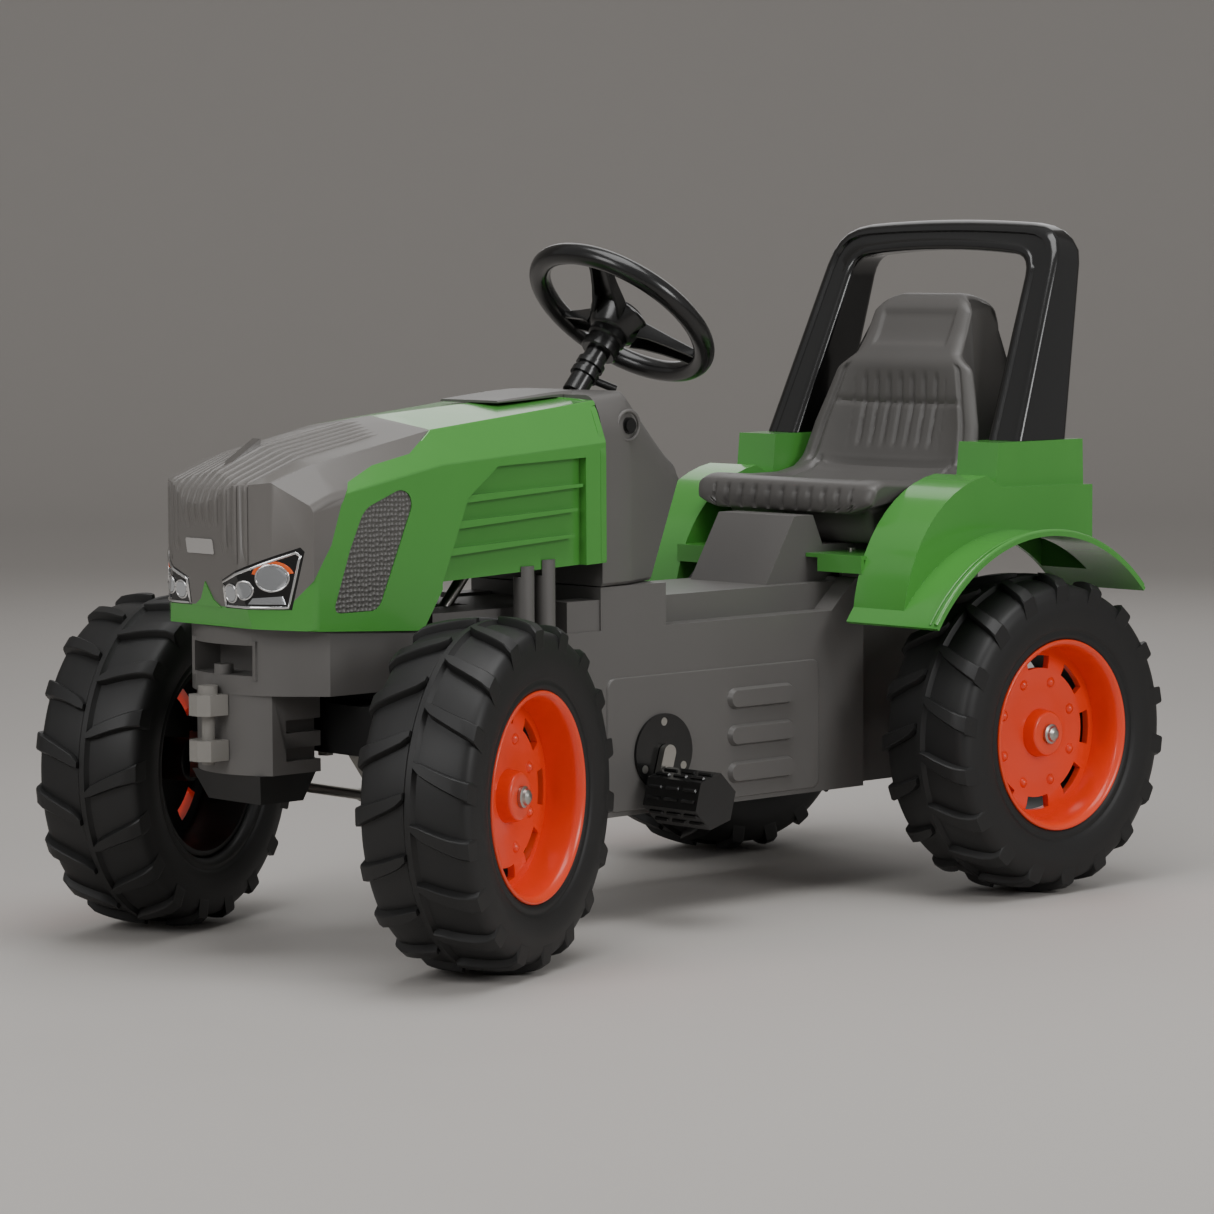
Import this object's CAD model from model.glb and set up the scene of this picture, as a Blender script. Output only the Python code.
# %% [markdown]
# # A child's pedal tractor
# The CAD model gives the frame: every body, joint and size. This script gives it looks. Pieces are
# modelled in millimetres in the frame's own axes (X forward, Y to the rider's left, Z up, ground at 0)
# and handed over in metres.

# %% The frame
import math

import bmesh
import bpy
import numpy as np
from mathutils import Matrix, Vector


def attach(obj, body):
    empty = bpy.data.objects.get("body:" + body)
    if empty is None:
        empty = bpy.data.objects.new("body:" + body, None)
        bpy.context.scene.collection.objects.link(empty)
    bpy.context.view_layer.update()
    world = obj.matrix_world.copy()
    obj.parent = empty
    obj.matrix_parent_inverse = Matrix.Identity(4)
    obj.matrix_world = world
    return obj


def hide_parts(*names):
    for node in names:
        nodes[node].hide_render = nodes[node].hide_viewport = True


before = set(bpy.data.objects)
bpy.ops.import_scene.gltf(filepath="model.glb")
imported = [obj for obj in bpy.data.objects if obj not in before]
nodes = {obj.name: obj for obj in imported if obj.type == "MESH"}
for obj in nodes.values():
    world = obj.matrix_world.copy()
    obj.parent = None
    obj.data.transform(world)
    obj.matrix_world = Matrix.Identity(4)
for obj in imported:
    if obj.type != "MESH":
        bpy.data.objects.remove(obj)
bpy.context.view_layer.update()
front_x, rear_x, axle_z = 365.5, -377.5, 162.5
wheel_y, kingpin_y, kingpin_inset, steer_rest = 220.5, 175.5, 45.0, 22.0

# %% [markdown]
# ## Materials
# Colours are sRGB hex values put through one conversion. Each material is a principled shader with a
# little procedural variation, whose scale is a real length in millimetres.


# %% Material helpers
def linear(hex_colour):
    """An sRGB hex colour as a linear RGBA tuple."""
    parts = [int(hex_colour[i:i + 2], 16) / 255 for i in (1, 3, 5)]
    return tuple(c / 12.92 if c <= 0.04045 else ((c + 0.055) / 1.055) ** 2.4 for c in parts) + (1.0,)


def node(tree, kind, links=(), **values):
    """Adds a shader node, sets its inputs and links others into it."""
    made = tree.nodes.new(kind)
    for key, value in values.items():
        if key in made.inputs:
            made.inputs[key].default_value = value
        else:
            setattr(made, key, value)
    for source, target in links:
        tree.links.new(source, made.inputs[target])
    return made


def plastic(name, colour, rough=0.4, metallic=0.0, grain_mm=1.2, grain=0.04, wear=0.05, coat=0.0,
            cell_mm=0.0):
    """A moulded or metal surface: fine grain as bump, slow variation of tone and roughness."""
    made = bpy.data.materials.new(name)
    made.use_nodes = True
    tree = made.node_tree
    shader = tree.nodes["Principled BSDF"]
    shader.inputs["Metallic"].default_value = metallic
    shader.inputs["Coat Weight"].default_value = coat
    shader.inputs["Coat Roughness"].default_value = 0.08
    place = node(tree, "ShaderNodeTexCoord")
    slow = node(tree, "ShaderNodeTexNoise", [(place.outputs["Object"], "Vector")],
                Scale=1000 / 90, Detail=3.0)
    base = linear(colour)
    tone = node(tree, "ShaderNodeMix", [(slow.outputs["Fac"], "Factor")], data_type="RGBA")
    tone.inputs[6].default_value = tuple(c * (1 - wear) for c in base[:3]) + (1,)
    tone.inputs[7].default_value = tuple(min(1, c * (1 + wear)) for c in base[:3]) + (1,)
    tree.links.new(tone.outputs[2], shader.inputs["Base Color"])
    shine = node(tree, "ShaderNodeMapRange", [(slow.outputs["Fac"], "Value")])
    shine.inputs["To Min"].default_value = max(0.02, rough - 0.05)
    shine.inputs["To Max"].default_value = rough + 0.05
    tree.links.new(shine.outputs["Result"], shader.inputs["Roughness"])
    if cell_mm:
        fine = node(tree, "ShaderNodeTexVoronoi", [(place.outputs["Object"], "Vector")],
                    Scale=1000 / cell_mm, Randomness=0.35)
        bump = node(tree, "ShaderNodeBump", [(fine.outputs["Distance"], "Height")],
                    Strength=1.0, Distance=cell_mm / 2500)
    else:
        fine = node(tree, "ShaderNodeTexNoise", [(place.outputs["Object"], "Vector")],
                    Scale=1000 / grain_mm, Detail=2.0)
        bump = node(tree, "ShaderNodeBump", [(fine.outputs["Fac"], "Height")],
                    Strength=grain, Distance=0.0004)
    tree.links.new(bump.outputs["Normal"], shader.inputs["Normal"])
    return made


green = plastic("gloss green moulding", "#4C9640", 0.22, coat=0.4, grain=0.02)
body_grey = plastic("warm grey blow moulding", "#62605E", 0.42, grain=0.10)
seat_grey = plastic("seat grey blow moulding", "#565452", 0.42, grain=0.10)
hood_grey = plastic("grey bonnet cover", "#6A6764", 0.36, grain=0.05)
light_grey = plastic("light grey moulding", "#87847F", 0.45, grain=0.08)
orange = plastic("orange wheel plastic", "#F5461E", 0.30, coat=0.2, grain=0.04)
tyre_black = plastic("tyre black", "#161616", 0.52, grain_mm=2.0, grain=0.15)
black = plastic("gloss black plastic", "#101010", 0.25, coat=0.2, grain=0.04)
dull_black = plastic("black moulding", "#141414", 0.45, grain=0.12)
steel = plastic("zinc plated steel", "#B8B6B0", 0.32, metallic=1.0, grain=0.05)
chrome = plastic("chrome film", "#DADADA", 0.10, metallic=1.0, grain=0.0)
lamp_black = plastic("lamp panel black", "#0C0C0D", 0.16, coat=0.5, grain=0.0)
lens_white = plastic("lamp reflector", "#C4C8CC", 0.14, metallic=0.85, coat=0.8, grain=0.0)
amber = plastic("amber crescent", "#E8601C", 0.18, coat=0.6, grain=0.0)
mesh_grey = plastic("grille grey", "#5A5856", 0.42, cell_mm=4.5)
bar_black = plastic("roll bar black", "#0E0E0E", 0.20, coat=0.35, grain=0.05)
print("materials", len(bpy.data.materials))

# %% [markdown]
# ## Shaping helpers
# A piece is a list of rings of points joined by quads. Sharp edges get a small real bevel, because no
# moulded edge is perfectly sharp.


# %% Mesh helpers
def mesh_piece(name, points, faces, material, body, smooth=40.0, bevel=0.0, node_names=()):
    """A mesh from millimetre points that rides on a body and may stand for CAD nodes."""
    name = name.replace(" ", "_")
    data = bpy.data.meshes.new(name)
    data.from_pydata([tuple(float(c) / 1000 for c in p) for p in points], [], faces)
    data.update()
    work = bmesh.new()
    work.from_mesh(data)
    bmesh.ops.remove_doubles(work, verts=work.verts, dist=1e-6)
    bmesh.ops.recalc_face_normals(work, faces=work.faces)
    work.to_mesh(data)
    work.free()
    piece = bpy.data.objects.new(name, data)
    bpy.context.scene.collection.objects.link(piece)
    data.materials.append(material)
    finish_edges(piece, smooth, bevel)
    if node_names:
        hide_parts(*node_names)
    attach(piece, body)
    return piece


def finish_edges(piece, smooth, bevel, segments=3):
    """Smooth shading up to an angle, and a bevel on the sharper edges."""
    data = piece.data
    data.shade_smooth()
    if bevel:
        edge = piece.modifiers.new("edge", "BEVEL")
        edge.width, edge.segments, edge.limit_method = bevel / 1000, segments, "ANGLE"
        edge.angle_limit = math.radians(smooth - 12)
        edge.harden_normals = False
        edge.use_clamp_overlap = True
    flat = piece.modifiers.new("normals", "WEIGHTED_NORMAL")
    flat.keep_sharp = True
    data.set_sharp_from_angle(angle=math.radians(smooth if not bevel else 60))


def rings(list_of_rings, closed=True, caps=True, loop=False):
    """Points and quads joining rings of equally many points."""
    count = len(list_of_rings[0])
    points = [p for ring in list_of_rings for p in ring]
    faces = []
    last = len(list_of_rings) if loop else len(list_of_rings) - 1
    for i in range(last):
        a, b = i * count, ((i + 1) % len(list_of_rings)) * count
        for j in range(count if closed else count - 1):
            k = (j + 1) % count
            faces.append((a + j, a + k, b + k, b + j))
    if caps and not loop:
        faces.append(tuple(range(count)))
        faces.append(tuple(range(len(points) - count, len(points))))
    return points, faces


def lathe(profile, place, steps=96):
    """A closed (radius, height) profile turned about a frame's z axis: place is a 4x4 matrix."""
    turned = []
    for i in range(steps):
        angle = 2 * math.pi * i / steps
        turned.append([place @ Vector((r * math.cos(angle), r * math.sin(angle), h))
                       for r, h in profile])
    return rings(turned, loop=True)


def tube(path, radius, sides=16, closed=False):
    """A round tube along a path of points."""
    path = [Vector(p) for p in path]
    made = []
    for i, p in enumerate(path):
        before = path[i - 1] if i or closed else p
        after = path[(i + 1) % len(path)] if i + 1 < len(path) or closed else p
        along = (after - before).normalized()
        side = along.cross(Vector((0.13, 0.21, 0.97))).normalized()
        up = side.cross(along)
        made.append([p + (side * math.cos(t) + up * math.sin(t)) * radius
                     for t in (2 * math.pi * j / sides for j in range(sides))])
    return rings(made, loop=closed)


def merge(parts):
    """Several (points, faces) pairs as one."""
    points, faces = [], []
    for some_points, some_faces in parts:
        start = len(points)
        points += list(some_points)
        faces += [tuple(start + i for i in f) for f in some_faces]
    return points, faces


def axes(origin, x_dir, z_dir):
    """A matrix whose x and z axes are given."""
    z = Vector(z_dir).normalized()
    x = Vector(x_dir).normalized()
    y = z.cross(x)
    m = Matrix((x, y, z)).transposed().to_4x4()
    m.translation = Vector(origin)
    return m


def dress(name, material, bevel=0.8, smooth=35.0, segments=2):
    """A CAD node keeps its mesh and gets a material and bevelled edges."""
    piece = nodes[name]
    piece.data.materials.clear()
    piece.data.materials.append(material)
    if bevel:
        edge = piece.modifiers.new("edge", "BEVEL")
        edge.width, edge.segments, edge.limit_method = bevel / 1000, segments, "ANGLE"
        edge.angle_limit = math.radians(smooth)
        edge.harden_normals = False
    flat = piece.modifiers.new("normals", "WEIGHTED_NORMAL")
    flat.keep_sharp = False
    return piece


def recast(name, material, body, soft=(), bevel=1.0, smooth=30.0, long_mm=None,
           long_soft=4.0):
    """A CAD node's shape cast again with soft edges: soft is a list of (test of a point, width)."""
    work = bmesh.new()
    work.from_mesh(nodes[name].data)
    bmesh.ops.remove_doubles(work, verts=work.verts, dist=1e-6)
    bmesh.ops.dissolve_limit(work, angle_limit=math.radians(0.7), verts=work.verts, edges=work.edges)

    def sharp(edge, least):
        return len(edge.link_faces) == 2 and edge.calc_face_angle(0.0) > math.radians(least)

    rounds = [(test, width, 8.0) for test, width in soft]
    if long_mm:
        rounds.append((None, long_soft, 24.0))
    for test, width, least in rounds:
        chosen = []
        for edge in work.edges:
            middle = (edge.verts[0].co + edge.verts[1].co) * 500
            if not sharp(edge, least):
                continue
            if test is None and edge.calc_length() * 1000 > long_mm:
                chosen.append(edge)
            elif test is not None and test(middle, (edge.verts[1].co - edge.verts[0].co).normalized()):
                chosen.append(edge)
        if chosen:
            bmesh.ops.bevel(work, geom=chosen, offset=width / 1000, offset_type="OFFSET", segments=5,
                            profile=0.5, affect="EDGES", clamp_overlap=True)
    data = bpy.data.meshes.new(f"{name}_cast")
    work.to_mesh(data)
    work.free()
    piece = bpy.data.objects.new(f"{name}_cast", data)
    bpy.context.scene.collection.objects.link(piece)
    data.materials.append(material)
    finish_edges(piece, smooth + 12, bevel)
    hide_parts(name)
    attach(piece, body)
    return piece


# %% [markdown]
# ## Wheels
# Four equal wheels: a blow-moulded tyre with two rows of lugs and a smooth ring on the flank, and an
# orange centre with a deep dish, eight slots and a hub.


# %% Wheel frames
def wheel_frame(side, steered):
    """A frame at a wheel's centre: z points outboard along its axle."""
    if not steered:
        return axes((rear_x, side * wheel_y, axle_z), (1, 0, 0), (0, side, 0))
    turn = math.radians(steer_rest)
    out = Vector((-math.sin(turn), math.cos(turn), 0)) * side
    pin = Vector((front_x, side * kingpin_y, axle_z))
    return axes(pin + out * kingpin_inset, (math.cos(turn), math.sin(turn), 0), out)


corners = {
    "front_left": (wheel_frame(1, True), "front_left_wheel"),
    "front_right": (wheel_frame(-1, True), "front_right_wheel"),
    "rear_left": (wheel_frame(1, False), "drive_axle"),
    "rear_right": (wheel_frame(-1, False), "rear_right_wheel"),
}
bead_r, crown_r, half_width = 94.0, 162.5, 57.0
lug_count, lug_depth = 18, 7.5


def smooth_profile(points, steps=5):
    """A Catmull-Rom curve through (a, b) points, open ends."""
    pts = [np.array(p, float) for p in points]
    pts = [2 * pts[0] - pts[1]] + pts + [2 * pts[-1] - pts[-2]]
    out = []
    for i in range(1, len(pts) - 2):
        p0, p1, p2, p3 = pts[i - 1:i + 3]
        for k in range(steps):
            t = k / steps
            out.append(tuple(0.5 * ((2 * p1) + (p2 - p0) * t + (2 * p0 - 5 * p1 + 4 * p2 - p3) * t * t
                                    + (3 * p1 - p0 - 3 * p2 + p3) * t ** 3)))
    out.append(tuple(pts[-2]))
    return out


def crown(lateral):
    """The tread's outer radius at a distance from the middle plane."""
    t = abs(lateral) / half_width
    return crown_r - 7.5 * t ** 2.6 - (4.0 * max(0, t - 0.85) / 0.15)


# %% [markdown]
# ## Tyres
# One turned casing, and two rows of bars that run from the middle band over the shoulder.

# %% Tyres
outer = [(bead_r + 0.5, 43.0), (bead_r + 2, 49.0), (bead_r + 7, 52.5), (bead_r + 12, 52.0),
         (bead_r + 16, 54.5), (bead_r + 30, 57.0), (bead_r + 42, 56.0), (bead_r + 50, 54.0)]
tread = [(crown(y) - lug_depth, y) for y in (49.0, 38.0, 25.0, 12.0, 6.0)]
half = smooth_profile(outer + tread, 3) + [(crown(4) - lug_depth + 2, 4.0), (crown(2) - 3.5, 2.6)]
outline = half + [(r, -y) for r, y in reversed(half)]
inner = [(bead_r + 0.5, -38.0), (bead_r + 24, -50.0), (crown_r - 16, -46.0), (crown_r - 16, 46.0),
         (bead_r + 24, 50.0), (bead_r + 0.5, 38.0)]
tyre_profile = outline + inner


def lug(place, row, index, steps=9):
    """One tread bar from the centre band over the shoulder, swept back as it goes out."""
    start = 2 * math.pi * (index + (0.25 if row > 0 else -0.25)) / lug_count
    sections = []
    for k in range(steps):
        t = k / (steps - 1)
        y = 4.0 + 52.3 * min(1.0, t * 1.12)
        drop = max(0.0, t * 1.12 - 1.0) * 120.0
        angle = start + 0.155 * t ** 0.85 - 0.02
        width = (6.4 + 4.2 * t) * (0.55 if k == 0 else 1.0)
        top = crown(y) - drop
        base = crown(y) - lug_depth - 2.0 - drop
        ring = []
        for offset, height in ((-1.0, base), (-0.86, top - 1.6), (-0.68, top), (0.68, top),
                               (0.86, top - 1.6), (1.0, base)):
            turn = angle + offset * width / top
            lateral = y if height > base else y - 0.6
            ring.append(place @ Vector((height * math.cos(turn), height * math.sin(turn),
                                        row * lateral)))
        sections.append(ring)
    return rings(sections)


for corner, (place, body) in corners.items():
    parts = [lathe(tyre_profile, place, 144)]
    for row in (-1, 1):
        parts += [lug(place, row, index) for index in range(lug_count)]
    points, faces = merge(parts)
    mesh_piece(f"lugged tyre {corner}", points, faces, tyre_black, body, smooth=38,
               node_names=(f"tyre_{corner}",))
print("lugs per tyre", 2 * lug_count, "lug depth mm", lug_depth, "tyre across mm", 2 * crown_r)

# %% [markdown]
# ## Wheel centres
# A barrel, a hub and a disc with eight slots. The inboard side is black.

# %% Rims
disc_face = 20.0
sector_angles = [math.radians(a) for a in (-22.5, -17.5, -13.0, -6.5, 0.0, 6.5, 13.0, 17.5)]
radii = [24.0, 36.0, 50.0, 60.0, 66.0, 73.0, 79.0, 84.0, 89.5]
heights = [20.0, 17.5, 16.5, 17.5, 18.0, 18.0, 17.0, 15.5, 15.0]


def slotted_disc(place):
    """The wheel disc with eight trapezoid slots, as a plate of real thickness."""
    count = 8 * len(sector_angles)
    layers = []
    for depth in (0.0, -7.0):
        layers.append([[place @ Vector((r * math.cos(a), r * math.sin(a), h + depth))
                        for a in (math.radians(45 * s) + b for s in range(8) for b in sector_angles)]
                       for r, h in zip(radii, heights)])
    points = [p for layer in layers for ring in layer for p in ring]
    size = count * len(radii)

    def is_open(i, j):
        return i in (4, 5) and j % 8 in (2, 3, 4, 5)

    faces = []
    for i in range(len(radii) - 1):
        for j in range(count):
            if is_open(i, j):
                continue
            k = (j + 1) % count
            a, b, c, d = i * count + j, i * count + k, (i + 1) * count + k, (i + 1) * count + j
            faces.append((a, b, c, d))
            faces.append((size + d, size + c, size + b, size + a))
            if i + 1 < len(radii) - 1 and is_open(i + 1, j):
                faces.append((d, c, size + c, size + d))
            if i and is_open(i - 1, j):
                faces.append((b, a, size + a, size + b))
            if is_open(i, k):
                faces.append((c, b, size + b, size + c))
            if is_open(i, (j - 1) % count):
                faces.append((a, d, size + d, size + a))
    for j in range(count):
        k = (j + 1) % count
        end = (len(radii) - 1) * count
        faces.append((k, j, size + j, size + k))
        faces.append((end + j, end + k, size + end + k, size + end + j))
    return points, faces


barrel = smooth_profile([(88.0, 10.0), (88.5, 30.0), (89.0, 44.0), (91.5, 50.0), (95.0, 52.6),
                         (97.0, 51.0), (96.0, 47.5), (93.2, 44.5)], 4)
barrel += [(93.5, 40.0), (93.5, -44.0), (91.0, -45.5), (88.0, -45.5)]
hub = smooth_profile([(26.0, 16.0), (24.6, 21.0), (23.0, 30.0), (21.0, 33.2), (17.0, 33.7)], 4)
hub += [(6.3, 33.7), (6.3, -28.0), (20.0, -28.0), (21.0, -27.0), (21.0, 10.0)]
for corner, (place, body) in corners.items():
    parts = [lathe(barrel, place, 120), lathe(hub, place, 64), slotted_disc(place)]
    for k in range(8):
        angle = math.radians(45 * k + 22.5)
        spot = place @ Matrix.Translation((54 * math.cos(angle), 54 * math.sin(angle), 16.0))
        parts.append(lathe([(0.01, 4.2), (3.0, 3.6), (5.6, 1.0), (6.0, -2.0), (0.01, -2.0)], spot, 20))
    points, faces = merge(parts)
    wheel = mesh_piece(f"slotted wheel {corner}", points, faces, orange, body, smooth=42,
                       node_names=(f"rim_{corner}",))
    # the centre is moulded in black, and only its outboard face carries the orange cover
    wheel.data.materials.append(dull_black)
    inward = place.inverted()
    for face in wheel.data.polygons:
        here = inward @ (face.center * 1000)
        if here.z < 12.5 or (here.z < 38 and math.hypot(here.x, here.y) > 92.5):
            face.material_index = 1
for corner in corners:
    dress(f"axle_cap_{corner}", steel, 0.5)
print("slots per wheel", 8, "slot from radius mm", radii[4], "to", radii[6])

# %% [markdown]
# ## Carried-over CAD pieces
# Mouldings are cast again from their CAD shape with softer edges. The hardware keeps its CAD mesh and
# gets a material and a narrow bevel.

# %% Dressing the CAD nodes
hood_x = (96.5, 303.5, 438.5, 515.5)
shoulder_y = (88.0, 88.0, 80.0, 74.0)
shoulder_z = (510.5, 489.0, 462.0, 436.0)


def on_shoulder(p, along):
    """Near the hood's shoulder line, where the top turns down to the flank."""
    half = np.interp(p.x, hood_x, shoulder_y)
    height = np.interp(p.x, hood_x, shoulder_z)
    return abs(abs(p.y) - half) < 4 and abs(p.z - height) < 6 and abs(along.x) > 0.6


def on_crease(p, along):
    """Near the crease along the flank."""
    height = np.interp(p.x, hood_x, [471.0, 457.0, 432.0, 400.0])
    return abs(abs(p.y) - 104) < 4 and abs(p.z - height) < 6 and abs(along.x) > 0.6


def on_nose_corner(p, along):
    """On the upright corners of the nose."""
    return p.x > 450 and abs(along.z) > 0.55 and (abs(abs(p.y) - 82) < 5 or abs(abs(p.y) - 104) < 4)


def on_lip(p, along):
    """On the crossing edges of the lip above the nose."""
    return p.x > 462 and p.z > 418 and abs(along.y) > 0.6


def near_any(p, spots, reach=3.0):
    """Whether a point lies near one of some (x, z) corners in side view."""
    return any(abs(p.x - x) < reach and abs(p.z - z) < reach for x, z in spots)


grille_corners = [(front_x + x, z) for x, z in ((71, 326), (16, 326), (-27, 425), (-14, 438), (33, 420),
                                                (50, 384))]
tray_corners = [(front_x + x, z) for x, z in ((-61, 347), (-94, 425), (-131, 453))]


def on_grille(p, along):
    """On a corner of the grille's opening."""
    return abs(p.y) > 98 and abs(along.y) > 0.9 and near_any(p, grille_corners)


def on_tray(p, along):
    """On a corner of the louvre tray."""
    return abs(p.y) > 92 and abs(along.y) > 0.9 and near_any(p, tray_corners)


hood_soft = [(on_grille, 9.0), (on_tray, 14.0), (on_shoulder, 12.0), (on_crease, 9.0),
             (on_nose_corner, 7.0), (on_lip, 4.0)]
recast("main_body", body_grey, "root", bevel=1.2, long_mm=30, long_soft=4.0)
recast("front_bumper", body_grey, "root", bevel=1.5, long_mm=24, long_soft=4.5)
dress("belly_cover", body_grey, 0.6)
recast("hood_shell", green, "root", hood_soft, bevel=1.0)
recast("bonnet_insert", hood_grey, "root", hood_soft, bevel=1.0)
for name in ("side_grille_left", "side_grille_right"):
    recast(name, mesh_grey, "root", [(on_grille, 9.0)], bevel=0.6)
for name in ("fender_left", "fender_right"):
    recast(name, green, "root", bevel=2.2, smooth=26.0)
for name in ("coupling_jaw_lower", "coupling_jaw_upper", "coupling_pin"):
    dress(name, light_grey, 1.5)
for name in ("headlight_left", "headlight_right"):
    dress(name, lamp_black, 0.8)
for name in ("column_sleeve", "wheel_cap", "crank_bearing_left", "crank_bearing_right", "dash_knob"):
    dress(name, black, 0.8)
for name in ("pedal_left", "pedal_right"):
    dress(name, black, 2.5, 30, 3)
for name in ("front_axle_beam", "axle_guard", "tow_bracket", "rear_bush_left", "rear_bush_right"):
    dress(name, dull_black, 1.5)
for name in ("ornament_bar", "nose_plate"):
    dress(name, chrome, 0.5)
hardware = ("axle_bolts", "knuckle_left", "knuckle_right", "kingpin_left", "kingpin_right", "tie_rod",
            "steering_rod", "bearing_screws", "crankshaft", "chainring", "drive_chain",
            "axle_sprocket", "rear_axle", "body_screws", "seat_bolts")
for name in hardware:
    dress(name, steel, 0.0 if name == "drive_chain" else 0.4)
print("hardware pieces", len(hardware))

# %% [markdown]
# ## Dash
# Upright sides and rounded upper corners, with a tongue that runs on over the hood.

# %% Dash
dash_x = (95.5, 75.0, 55.5, 45.5, 20.0, 4.5, -20.0, -45.0, -56.0, -60.5)


def dash_section(x):
    """One cross-section of the dash: upright sides and rounded upper corners."""
    wide = np.interp(x, (-64.5, 55.5, 100.5), (40.0, 93.0, 99.0))
    top = np.interp(x, (-60.5, -58.5, 45.5, 95.5), (432.0, 446.0, 518.0, 515.5))
    low = np.interp(x, (-60.5, 4.5), (424.0, 331.0))
    tall = min(40.0, (top - low) * 0.6)
    turn_in = np.interp(x, (-60.5, 95.5), (22.0, 24.0))
    right = [(wide - 3.0, low), (wide, low + 3.0), (wide, (low + top - tall) / 2)]
    for a in np.radians(np.arange(0, 91, 10)):
        right.append((wide - turn_in + turn_in * math.cos(a), top - tall + tall * math.sin(a)))
    outline = right + [(-y, z) for y, z in reversed(right)]
    return [(x, y, z) for y, z in outline]


tongue = []
for x, low, top in ((84.0, 512.5, 519.2), (110.5, 512.8, 517.8), (150.0, 510.4, 514.2),
                    (179.0, 508.9, 511.4)):
    w = 44.0 if x < 170 else 42.0
    tongue.append([(x, -w, low), (x, w, low), (x, w + 0.5, (low + top) / 2), (x, w - 2, top),
                   (x, 2 - w, top), (x, -w - 0.5, (low + top) / 2)])
bezel = [(55.0 + 14.2 * math.cos(a), 92.2, 485.0 + 14.2 * math.sin(a))
         for a in np.linspace(0, 2 * math.pi, 40, endpoint=False)]
points, faces = merge([rings([dash_section(x) for x in dash_x]), rings(tongue),
                       tube(bezel, 2.0, 10, closed=True)])
mesh_piece("rounded dash", points, faces, body_grey, "root", smooth=36, bevel=1.5,
           node_names=("dash_housing",))
print("dash length mm", dash_x[0] - dash_x[-1])

# %% [markdown]
# ## Rear rim of the hood
# A raised rim follows the hood's rear edge. It covers a 5 mm strip that the CAD hood lacks there.


# %% Rear rim of the hood
def eased(points, reach, steps=6):
    """A polyline whose inner corners are replaced by short curves."""
    made = [Vector(points[0])]
    for before, corner, after in zip(points, points[1:], points[2:]):
        a, b, c = Vector(before), Vector(corner), Vector(after)
        start = b + (a - b).normalized() * min(reach, (a - b).length * 0.45)
        end = b + (c - b).normalized() * min(reach, (c - b).length * 0.45)
        for k in range(steps + 1):
            t = k / steps
            made.append(start * (1 - t) ** 2 + b * (2 * t * (1 - t)) + end * t * t)
    made.append(Vector(points[-1]))
    return made


arch = [(105.0, 356.0), (105.0, 471.0), (88.0, 510.5), (0.0, 514.2), (-88.0, 510.5), (-105.0, 471.0),
        (-105.0, 356.0)]
rim_sections = []
outer_line = eased([(y + math.copysign(0.4, y), z + (0.4 if z > 480 else 0)) for y, z in arch], 13.0)
inner_line = eased([(y * 0.968, z - (3.0 if z > 480 else 0)) for y, z in arch], 12.0)
for (yo, zo), (yi, zi) in zip(outer_line, inner_line):
    rim_sections.append([(96.6, yi, zi), (96.6, yo, zo - 0.4), (97.2, yo, zo), (103.0, yo, zo),
                         (103.6, yo, zo - 0.5), (103.6, yi, zi)])
points, faces = rings(rim_sections)
mesh_piece("hood rear rim", points, faces, green, "root", smooth=45)

# %% [markdown]
# ## Flank panels
# A shallow raised panel with rounded corners on each side of the body.


# %% Flank panels
def rounded_outline(x_low, x_high, z_low, z_high, radius, steps=6):
    """Corners of a rounded rectangle in side view."""
    made = []
    for cx, cz, start in ((x_high - radius, z_high - radius, 0), (x_low + radius, z_high - radius, 90),
                          (x_low + radius, z_low + radius, 180), (x_high - radius, z_low + radius, 270)):
        for k in range(steps + 1):
            a = math.radians(start + 90 * k / steps)
            made.append((cx + radius * math.cos(a), cz + radius * math.sin(a)))
    return made


for side, name in ((1, "left"), (-1, "right")):
    edge = rounded_outline(-204.0, 87.0, 110.0, 240.0, 10.0)
    low_step = [[(x + (x + 58.0) * s, side * y, z + (z - 175.0) * s) for x, z in edge]
                for y, s in ((94.0, 0.012), (95.2, 0.010), (96.4, 0.0), (96.8, -0.008))]
    points, faces = rings(low_step)
    mesh_piece(f"flank panel {name}", points, faces, body_grey, "root", smooth=50)

# %% [markdown]
# ## Wing lips
# A rolled edge along each wing's arch, over the wheel.

# %% Rolled lips of the wings
for side, name in ((1, "left"), (-1, "right")):
    parts = []
    for y, radius, thick in ((251.3, 205.4, 2.6), (243.5, 205.0, 1.5)):
        arc = [(rear_x + radius * math.cos(a), side * y, axle_z + radius * math.sin(a))
               for a in np.radians(np.linspace(36.0, 136.0, 60))]
        parts.append(tube(arc, thick, 12))
    points, faces = merge(parts)
    mesh_piece(f"wing lip {name}", points, faces, green, "root", smooth=60)

# %% [markdown]
# ## Seat
# The seat is one hollow blow moulding: a wide pan, raised bolsters, a back with upright grooves and a
# head pad. Its side outline is swept across the width, rounded off at both edges.

# %% Seat
seat_side = [(130, 384.5), (131, 400), (126, 414), (112, 420), (60, 416.5), (16, 417), (-14, 423),
             (-26, 434), (-34, 460), (-44, 500), (-52, 536), (-58, 545), (-70, 566), (-82, 594),
             (-90, 603), (-100, 607), (-114, 605), (-124, 598), (-130, 575), (-129, 555), (-112, 500),
             (-96, 440), (-84, 400), (-72, 372), (-60, 355), (-40, 352.3), (60, 352.3), (94, 352.3),
             (99, 360), (106, 384.5)]
seat_half = [(340, 98), (366, 101), (384, 104), (394, 126), (410, 129), (425, 128), (470, 118),
             (528, 97), (545, 76), (560, 73), (590, 70), (600, 62), (607.5, 50)]


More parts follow.
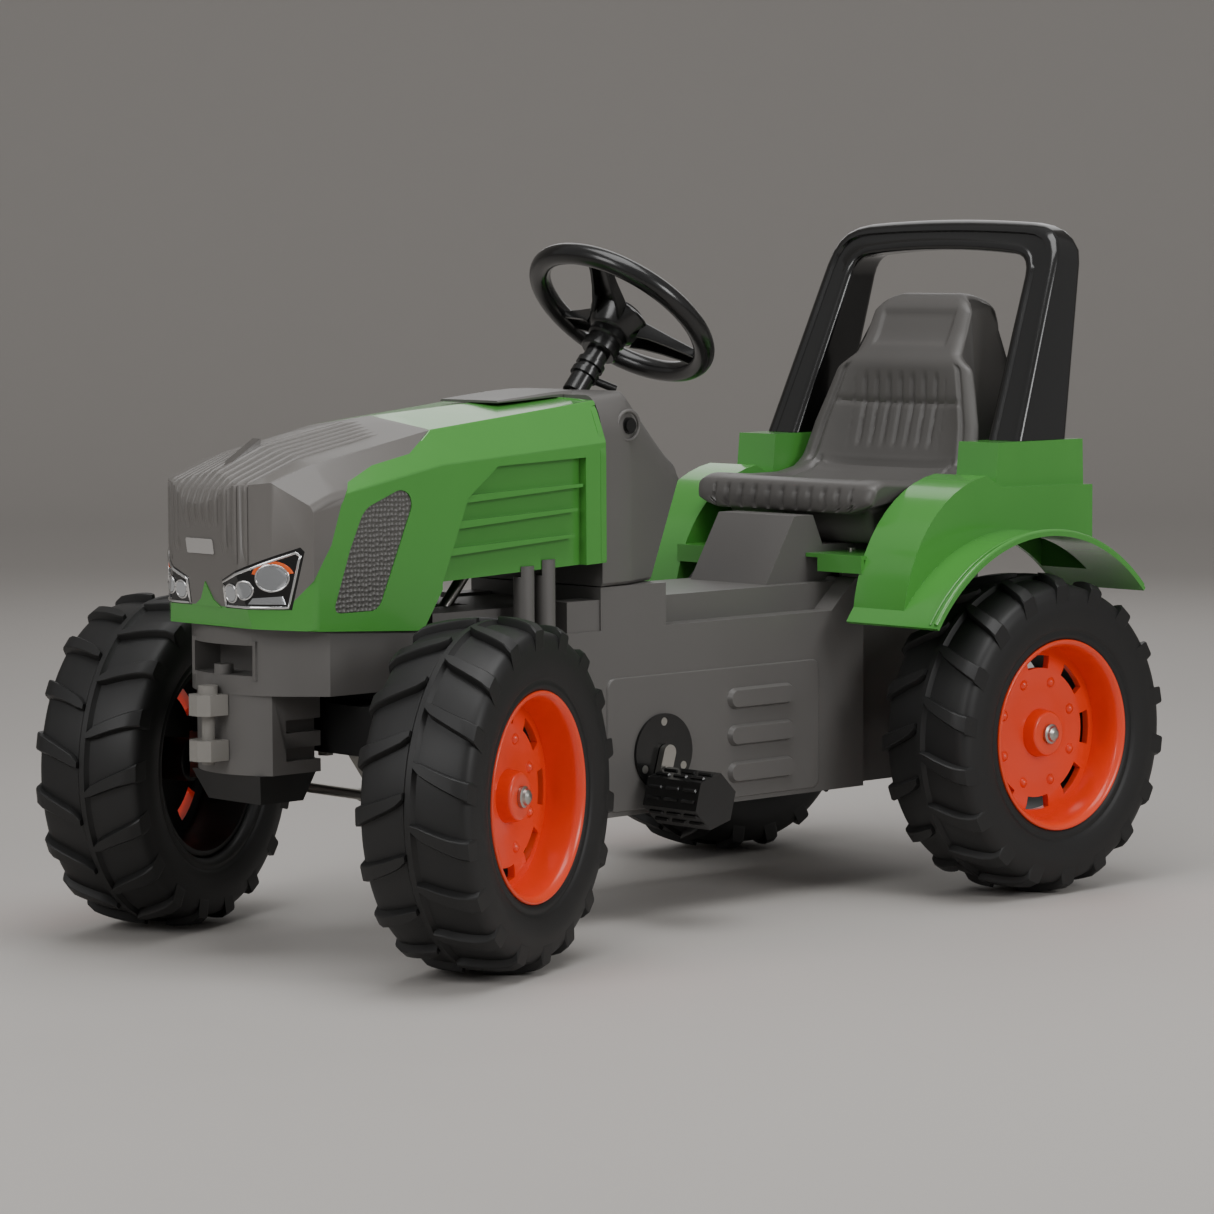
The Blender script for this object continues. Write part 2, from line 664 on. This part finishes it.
def resample(points, count):
    """A closed polyline resampled to equally spaced points."""
    pts = np.array(list(points) + [points[0]], float)
    seg = np.linalg.norm(np.diff(pts, axis=0), axis=1)
    at = np.concatenate([[0], np.cumsum(seg)])
    want = np.linspace(0, at[-1], count, endpoint=False)
    return np.stack([np.interp(want, at, pts[:, 0]), np.interp(want, at, pts[:, 1])], axis=1)


def groove(offset, half_wide):
    """1 at the middle of a groove, 0 outside it."""
    t = abs(offset) / half_wide
    return 0.0 if t >= 1 else 0.5 + 0.5 * math.cos(math.pi * t)


def smooth_closed(points, count, rounds=2):
    """Resampled closed outline with its corners eased."""
    pts = resample(points, count)
    for _ in range(rounds):
        pts = 0.5 * pts + 0.25 * (np.roll(pts, 1, axis=0) + np.roll(pts, -1, axis=0))
    return pts


def seat_mesh():
    """The seat's whole skin as rings of the side outline, from right edge to left edge."""
    around, across, edge = 260, 121, 15.0
    side = smooth_closed(seat_side, around)
    tangent = np.roll(side, -1, axis=0) - np.roll(side, 1, axis=0)
    normal = np.stack([tangent[:, 1], -tangent[:, 0]], axis=1)
    normal /= np.linalg.norm(normal, axis=1)[:, None]
    centre = side.mean(axis=0)
    if ((side - centre) * normal).sum() < 0:
        normal = -normal
    zs, hs = zip(*seat_half)
    rows = []
    for j in range(across):
        v = -1 + 2 * j / (across - 1)
        v = math.copysign(1 - (1 - abs(v)) ** 1.35, v)
        row = []
        for (x, z), (nx, nz) in zip(side, normal):
            wide = np.interp(z, zs, hs)
            y = v * wide
            from_edge = wide - abs(y)
            ease = max(0.0, 1 - from_edge / edge)
            inset = 7.0 * (1 - math.sqrt(max(0.0, 1 - ease ** 2)))
            sitting = nz > 0.55 and z < 440 and x < 118
            back = nx > 0.6 and z > 428
            if sitting:
                depth = math.exp(-((x - 30) / 55) ** 2)
                inset += 9.0 * depth * max(0, 1 - (abs(v) / 0.82) ** 4)
                inset += 2.4 * groove(abs(y) - 96, 5.0) * (1 if x < 112 else 0)
            if back and z < 530:
                inset += 8.0 * max(0, 1 - (abs(v) / 0.8) ** 4) * min(1, (530 - z) / 40)
                inset += 3.0 * groove(abs(v) - 0.84, 0.05)
                if abs(y) < 66 and 446 < z < 524:
                    fade = min(1, (z - 446) / 6, (524 - z) / 6)
                    inset += 2.6 * fade * groove(((y + 8.5) % 17) - 8.5, 4.2)
                inset += 2.4 * groove(z - 494, 3.6) * (1 if abs(v) < 0.82 else 0)
            if back and 552 < z < 590:
                panel = min(1, (z - 552) / 5, (590 - z) / 5, max(0, (54 - abs(y)) / 5))
                inset += 2.4 * panel
            if nx > 0.8 and 388 < z < 410 and abs(y) < 100:
                inset += 3.0 * groove(((y + 10) % 20) - 10, 4.5)
            row.append((rear_x + x - nx * inset, y, z - nz * inset))
        rows.append(row)
    return rings(rows)


points, faces = seat_mesh()
mesh_piece("bucket seat", points, faces, seat_grey, "seat", smooth=50,
           node_names=("seat_shell",))
print("seat width mm", 2 * max(half for _, half in seat_half))

# %% [markdown]
# ## Roll bar
# One arch of box section. Its front face is let in between two raised borders, and its edges are
# rounded. It stands for the whole CAD bar above the fenders, and leaves out the feet inside them. The CAD
# legs have a narrow slit at their front, which this arch doesn't show.


# %% Roll bar
def roll_stations():
    """Pairs of outer and inner (y, z) points from the right foot over the top to the left foot."""
    outer_side = [(183.5, 456.3), (179.0, 501.0), (173.5, 556.0), (168.5, 606.0), (165.2, 638.0),
                  (162.0, 652.0), (156.0, 663.5), (147.0, 671.5), (134.0, 677.0), (118.0, 680.0),
                  (90.0, 681.8), (60.0, 683.0), (30.0, 683.8)]
    inner_side = [(137.5, 456.3), (134.6, 500.0), (131.2, 548.0), (128.2, 592.0), (126.2, 624.0),
                  (124.6, 632.0), (121.4, 638.4), (116.6, 643.0), (110.6, 645.8), (103.0, 647.2),
                  (80.0, 649.2), (53.0, 650.8), (27.0, 651.7)]
    right_half = [((-yo, zo), (-yi, zi)) for (yo, zo), (yi, zi) in zip(outer_side, inner_side)]
    left_half = [((yo, zo), (yi, zi)) for (yo, zo), (yi, zi) in zip(outer_side, inner_side)]
    return right_half + [((0.0, 684.0), (0.0, 652.0))] + left_half[::-1]


def bar_section(outer_point, inner_point):
    """A box section between two points of the front view, rounded and with a let-in front face."""
    (yo, zo), (yi, zi) = outer_point, inner_point
    length = math.hypot(yo - yi, zo - zi)
    ring = []
    radius = 8.0
    bar_back = 100.0  # a nominal depth: beyond half of it a point is placed from the rear face
    border = [(radius + 3.0, 0.0), (radius + 5.0, 3.0), (length - radius - 5.0, 3.0),
              (length - radius - 3.0, 0.0)]

    def at(across, back):
        t = across / length
        y, z = yi + (yo - yi) * t, zi + (zo - zi) * t
        if back > bar_back / 2:
            rear_face = float(np.interp(z, (456, 650, 690), (-485.5, -531.5, -524.0)))
            return (rear_face + bar_back - back, y, z)
        front_face = float(np.interp(z, (456, 672, 690), (-408.5, -497.5, -507.5)))
        return (front_face - back, y, z)

    turns = [math.radians(a) for a in (0, 22.5, 45, 67.5, 90)]
    for a in turns:
        ring.append(at(radius - radius * math.cos(a), radius - radius * math.sin(a)))
    ring += [at(w, d) for w, d in border]
    for a in turns:
        ring.append(at(length - radius + radius * math.sin(a), radius - radius * math.cos(a)))
    for a in turns:
        ring.append(at(length - radius + radius * math.cos(a), bar_back - radius + radius * math.sin(a)))
    for a in turns:
        ring.append(at(radius - radius * math.sin(a), bar_back - radius + radius * math.cos(a)))
    return ring


points, faces = rings([bar_section(o, i) for o, i in roll_stations()])
mesh_piece("roll bar arch", points, faces, bar_black, "root", smooth=48,
           node_names=("roll_bar",))
print("roll bar top mm", max(p[2] for p in points))

# %% [markdown]
# ## Steering wheel
# A round rim on three spokes. From below each spoke is a channel, open to the rider's knees.

# %% Steering wheel
tilt = math.radians(40.2)
column = Vector((-math.sin(tilt), 0, math.cos(tilt)))
foot = Vector((38.0, 0, 519.0))
wheel_place = axes(foot, (0, 1, 0), column)
rim_r, tube_r, wheel_height = 92.3, 10.6, 95.0
rim_profile = [(rim_r + tube_r * math.cos(2 * math.pi * k / 24),
                wheel_height + tube_r * math.sin(2 * math.pi * k / 24)) for k in range(24)]
parts = [lathe(rim_profile, wheel_place, 128)]
hub_profile = [(6.3, 71.0), (6.3, 44.5), (17.5, 44.5), (19.0, 46.0), (19.0, 54.0), (17.5, 55.5),
               (17.5, 60.0), (19.5, 62.0), (19.5, 69.0), (24.0, 72.0), (31.0, 88.0), (31.0, 91.0),
               (29.0, 93.0), (6.3, 93.0)]
parts.append(lathe(hub_profile, wheel_place, 64))
for turn in (-90.0, 30.0, 150.0):
    spin = wheel_place @ Matrix.Rotation(math.radians(turn + steer_rest * 1.05), 4, "Z")
    sections = []
    for r, w, top, bottom in ((24, 16, 93, 74), (36, 15, 94, 79), (55, 12.5, 96, 84),
                                   (74, 11, 98, 88), (88, 11, 99, 90)):
        ring = [(-w, bottom), (-w, top - 2), (-w + 2, top), (w - 2, top), (w, top - 2), (w, bottom),
                (w - 2.8, bottom), (w - 3.4, top - 4), (-w + 3.4, top - 4), (-w + 2.8, bottom)]
        sections.append([spin @ Vector((r, a, h)) for a, h in ring])
    parts.append(rings(sections))
points, faces = merge(parts)
mesh_piece("three spoke steering wheel", points, faces, black, "steering", smooth=40,
           node_names=("steering_wheel",))
print("steering wheel across mm", 2 * (rim_r + tube_r))

# %% [markdown]
# ## Nose details
# Low ribs run along the bonnet cover and down the nose, each at its own distance from the middle.


# %% Nose surface
def lean_x(z):
    """The nose's front face in side view."""
    return float(np.interp(z, [318.0, 426.0, 440.0, 470.0], [495.5, 511.5, 505.5, 471.5]))


def plan_x(y):
    """The nose's front face in plan view."""
    y = abs(y)
    if y > 83.0:
        return 478.5 - (y - 83.0) * 20 / 22
    return 390.6 + math.sqrt(120.9 ** 2 - y * y)


def nose_x(y, z):
    """How far forward the nose stands at a place on it."""
    return min(lean_x(z), plan_x(y))


def top_z(x, y):
    """The hood's top between its stations."""
    middle = np.interp(x, hood_x, (514.2, 500.0, 476.0, 444.0))
    edge = np.interp(x, hood_x, shoulder_z)
    wide = np.interp(x, hood_x, shoulder_y)
    return float(middle + (edge - middle) * abs(y) / wide)


def ridge_path(y, x_from, z_to):
    """A line along the top at constant y, over the lip and down the nose."""
    path = []
    x = x_from
    while x < 520:
        z = top_z(x, y)
        if nose_x(y, z) < x:
            break
        path.append(Vector((x, y, z)))
        x += 6.0
    z = path[-1].z - 4.0
    while z > z_to:
        path.append(Vector((nose_x(y, z), y, z)))
        z -= 5.0
    return path


def strip(path, half_w, height, sink=0.6):
    """A low rounded rib that follows a path lying at constant y."""
    sections = []
    for i, p in enumerate(path):
        before, after = path[max(0, i - 1)], path[min(len(path) - 1, i + 1)]
        along = (after - before).normalized()
        up = Vector((0, 1, 0)).cross(along)
        if up.z < 0 and up.x < 0:
            up = -up
        if up.z < -0.2 or (abs(up.z) < 0.3 and up.x < 0):
            up = -up
        fade = min(1.0, i / 3, (len(path) - 1 - i) / 3)
        lift = height * fade
        sections.append([p + Vector((0, w, 0)) + up * (h * lift - sink)
                         for w, h in ((-half_w, 0), (-half_w * 0.75, 0.8), (-half_w * 0.4, 1.0),
                                      (half_w * 0.4, 1.0), (half_w * 0.75, 0.8), (half_w, 0))])
    return rings(sections)


parts = []
ridge_pitch = 10.0
for k in range(-5, 7):
    y = (k - 0.5) * ridge_pitch
    x_from = 318.0 + abs(y) * 0.35
    low = 398.0 if abs(y) < 26 else 372.0
    parts.append(strip(ridge_path(y, x_from, low), 3.4, 2.0))
points, faces = merge(parts)
mesh_piece("bonnet ridges", points, faces, hood_grey, "root", smooth=50)
print("ridges", len(parts), "pitch mm", ridge_pitch)


# %% [markdown]
# ## Lamps
# Everything on the nose is drawn in its front view and then laid on the nose's surface.


# %% Lamps
def densify(outline, spacing):
    """A closed (y, z) outline with points added along its sides."""
    dense = []
    for (y1, z1), (y2, z2) in zip(outline, outline[1:] + outline[:1]):
        count = max(2, int(math.hypot(y2 - y1, z2 - z1) / spacing))
        dense += [(y1 + (y2 - y1) * k / count, z1 + (z2 - z1) * k / count) for k in range(count)]
    return dense


def drape(outline, lift, side):
    """A flat outline of (y, z) corners laid on the nose as a thin raised plate."""
    dense = densify(outline, 4)
    mid_y = sum(p[0] for p in dense) / len(dense)
    mid_z = sum(p[1] for p in dense) / len(dense)
    sections = []
    for shrink, up in ((1.0, -1.0), (1.0, lift - 0.5), (0.985, lift), (0.8, lift), (0.6, lift),
                       (0.4, lift), (0.2, lift), (0.01, lift)):
        ring = []
        for y, z in dense:
            yy, zz = mid_y + (y - mid_y) * shrink, mid_z + (z - mid_z) * shrink
            ring.append(Vector((nose_x(yy, zz) + up, side * yy, zz)))
        sections.append(ring)
    return rings(sections)


def lay_band(outline, lift, side):
    """A band given by its outer edge and then its inner edge backwards, laid on the nose."""
    half = len(outline) // 2
    pairs = zip(outline[:half], reversed(outline[half:]))
    sections = []
    for (y1, z1), (y2, z2) in pairs:
        ring = []
        for share, up in ((0, -1), (0, lift - 0.5), (0.15, lift), (0.85, lift), (1, lift - 0.5), (1, -1)):
            y, z = y1 + (y2 - y1) * share, z1 + (z2 - z1) * share
            ring.append(Vector((nose_x(y, z) + up, side * y, z)))
        sections.append(ring)
    return rings(sections)


def disc_outline(y, z, r, count=36, from_deg=0, to_deg=360):
    """Corners of a round lamp in the nose's front view."""
    return [(y + r * math.cos(math.radians(from_deg + (to_deg - from_deg) * k / count)),
             z + r * math.sin(math.radians(from_deg + (to_deg - from_deg) * k / count)))
            for k in range(count)]


def on_nose(outline, lift, side):
    """A closed path of (y, z) corners laid on the nose."""
    return [(nose_x(y, z) + lift, side * y, z) for y, z in densify(outline, 5)]


spike = [(-20.0, 331.0), (-9.0, 338.0), (0.0, 354.0), (9.0, 338.0), (20.0, 331.0)]
points, faces = drape(spike, 1.2, 1)
mesh_piece("green spike", points, faces, green, "root", smooth=50)
panel = [(27.0, 333.0), (27.0, 355.0), (60.0, 368.5), (93.0, 383.0), (96.0, 380.0), (88.0, 333.0)]
for side, name in ((1, "left"), (-1, "right")):
    border = on_nose(panel, 0.3, side)
    points, faces = tube(border, 1.5, 10, closed=True)
    mesh_piece(f"lamp border {name}", points, faces, chrome, "root", smooth=60)
    lenses, bezels = [], []
    for y, z, r in ((37.0, 345.0, 7.2), (54.0, 348.5, 7.2), (76.5, 360.0, 11.0)):
        lenses.append(drape(disc_outline(y, z, r), 1.6, side))
        bezels.append(tube(on_nose(disc_outline(y, z, r + 1.0), 0.8, side), 1.1, 8, closed=True))
    wedge = [(58.0, 336.0), (62.0, 341.5), (84.0, 343.5), (86.0, 336.0)]
    lenses.append(drape(wedge, 1.2, side))
    points, faces = merge(lenses)
    mesh_piece(f"lamp lenses {name}", points, faces, lens_white, "root", smooth=50)
    points, faces = merge(bezels)
    mesh_piece(f"lamp bezels {name}", points, faces, chrome, "root", smooth=60)
    band = [(76.5 + r * math.cos(t), 360.0 + r * math.sin(t))
            for r, turns in ((15.6, np.linspace(0.3, 2.9, 16)), (12.6, np.linspace(2.9, 0.3, 16)))
            for t in turns]
    points, faces = lay_band(band, 1.4, side)
    mesh_piece(f"amber crescent {name}", points, faces, amber, "root", smooth=60)

# %% [markdown]
# ## Pedal grips
# Rows of small studs on the six faces of each pedal.

# %% Pedal grips
crank_x, crank_z, throw = 15.4514, 164.0, 42.0
for side, name in ((1, "left"), (-1, "right")):
    turn = math.radians(-73.0 if side > 0 else 107.0)
    px, pz = crank_x + throw * math.cos(turn), crank_z + throw * math.sin(turn)
    parts = []
    for k in range(6):
        facing = math.radians(15.0 + 30.0 + 60.0 * k)
        out = Vector((math.cos(facing), 0, math.sin(facing)))
        along = Vector((-out.z, 0, out.x))
        middle = Vector((px, side * 147.0, pz)) + out * 24.2
        for offset in (-7.5, 0.0, 7.5):
            for y in (-24.0, 0.0, 24.0):
                spot = middle + along * offset + Vector((0, y, 0))
                base = [spot + along * a + Vector((0, b, 0)) - out * 0.8
                        for a, b in ((-1.8, -9), (1.8, -9), (1.8, 9), (-1.8, 9))]
                lid = [spot + along * a + Vector((0, b, 0)) + out * 1.3
                       for a, b in ((-1.1, -8.2), (1.1, -8.2), (1.1, 8.2), (-1.1, 8.2))]
                parts.append(rings([base, lid]))
    points, faces = merge(parts)
    mesh_piece(f"pedal grips {name}", points, faces, black, f"{name}_pedal", smooth=30)

# %% [markdown]
# ## Setting and camera
# A pale floor that curves up behind, four soft lights and one camera.

# %% Floor, lights, camera
azimuth, elevation, roll = math.radians(137.1), math.radians(4.8), math.radians(-0.3)
away = Vector((-math.sin(azimuth), math.cos(azimuth), 0))
across = Vector((math.cos(azimuth), math.sin(azimuth), 0))
profile = [(-7.0, 0.0), (6.0, 0.0)]
profile += [(6.0 + 3.0 * math.sin(a), 3.0 - 3.0 * math.cos(a)) for a in np.radians(np.arange(5, 91, 5))]
profile.append((9.0, 16.0))
corners_of_sweep = [away * d + across * w + Vector((0, 0, h)) for d, h in profile for w in (-30, 30)]
floor_mat = plastic("pale studio floor", "#B9B5B1", 0.7, grain=0.0, wear=0.01)
data = bpy.data.meshes.new("studio floor")
data.from_pydata([tuple(c) for c in corners_of_sweep], [],
                 [(2 * i, 2 * i + 1, 2 * i + 3, 2 * i + 2) for i in range(len(profile) - 1)])
data.shade_smooth()
floor = bpy.data.objects.new("studio_floor", data)
bpy.context.scene.collection.objects.link(floor)
data.materials.append(floor_mat)

world = bpy.data.worlds.new("soft room")
bpy.context.scene.world = world
world.use_nodes = True
world.node_tree.nodes["Background"].inputs["Color"].default_value = (0.84, 0.83, 0.82, 1)
world.node_tree.nodes["Background"].inputs["Strength"].default_value = 0.45


def soft_light(name, place, aim, size, watts):
    """A square area light that looks at a point."""
    lamp = bpy.data.lights.new(name, "AREA")
    lamp.shape, lamp.size, lamp.energy = "SQUARE", size, watts
    made = bpy.data.objects.new(name.replace(" ", "_"), lamp)
    made.location = place
    made.rotation_euler = (Vector(aim) - Vector(place)).to_track_quat("-Z", "Y").to_euler()
    bpy.context.scene.collection.objects.link(made)


soft_light("overhead", (0.2, 0.4, 2.6), (0, 0, 0.3), 1.8, 40)
soft_light("left of camera", (2.9, 0.4, 1.7), (0, 0, 0.3), 1.2, 24)
soft_light("behind on the right", (-2.4, -2.0, 2.2), (0, 0, 0.3), 2.4, 20)
soft_light("right of camera", (-0.3, 3.0, 1.5), (0, 0, 0.3), 1.0, 28)

back = Vector((math.sin(azimuth) * math.cos(elevation), -math.cos(azimuth) * math.cos(elevation),
               math.sin(elevation)))
right = Vector((math.cos(azimuth), math.sin(azimuth), 0))
up = back.cross(right)
tilted_right = right * math.cos(roll) + up * math.sin(roll)
tilted_up = up * math.cos(roll) - right * math.sin(roll)
eye = bpy.data.cameras.new("camera")
eye.lens, eye.sensor_width = 128.65, 36.0
camera = bpy.data.objects.new("camera", eye)
camera.matrix_world = Matrix.Translation((2.9317, 3.1564, 0.6616)) @ Matrix(
    (tilted_right, tilted_up, back)).transposed().to_4x4()
bpy.context.scene.collection.objects.link(camera)
bpy.context.scene.camera = camera
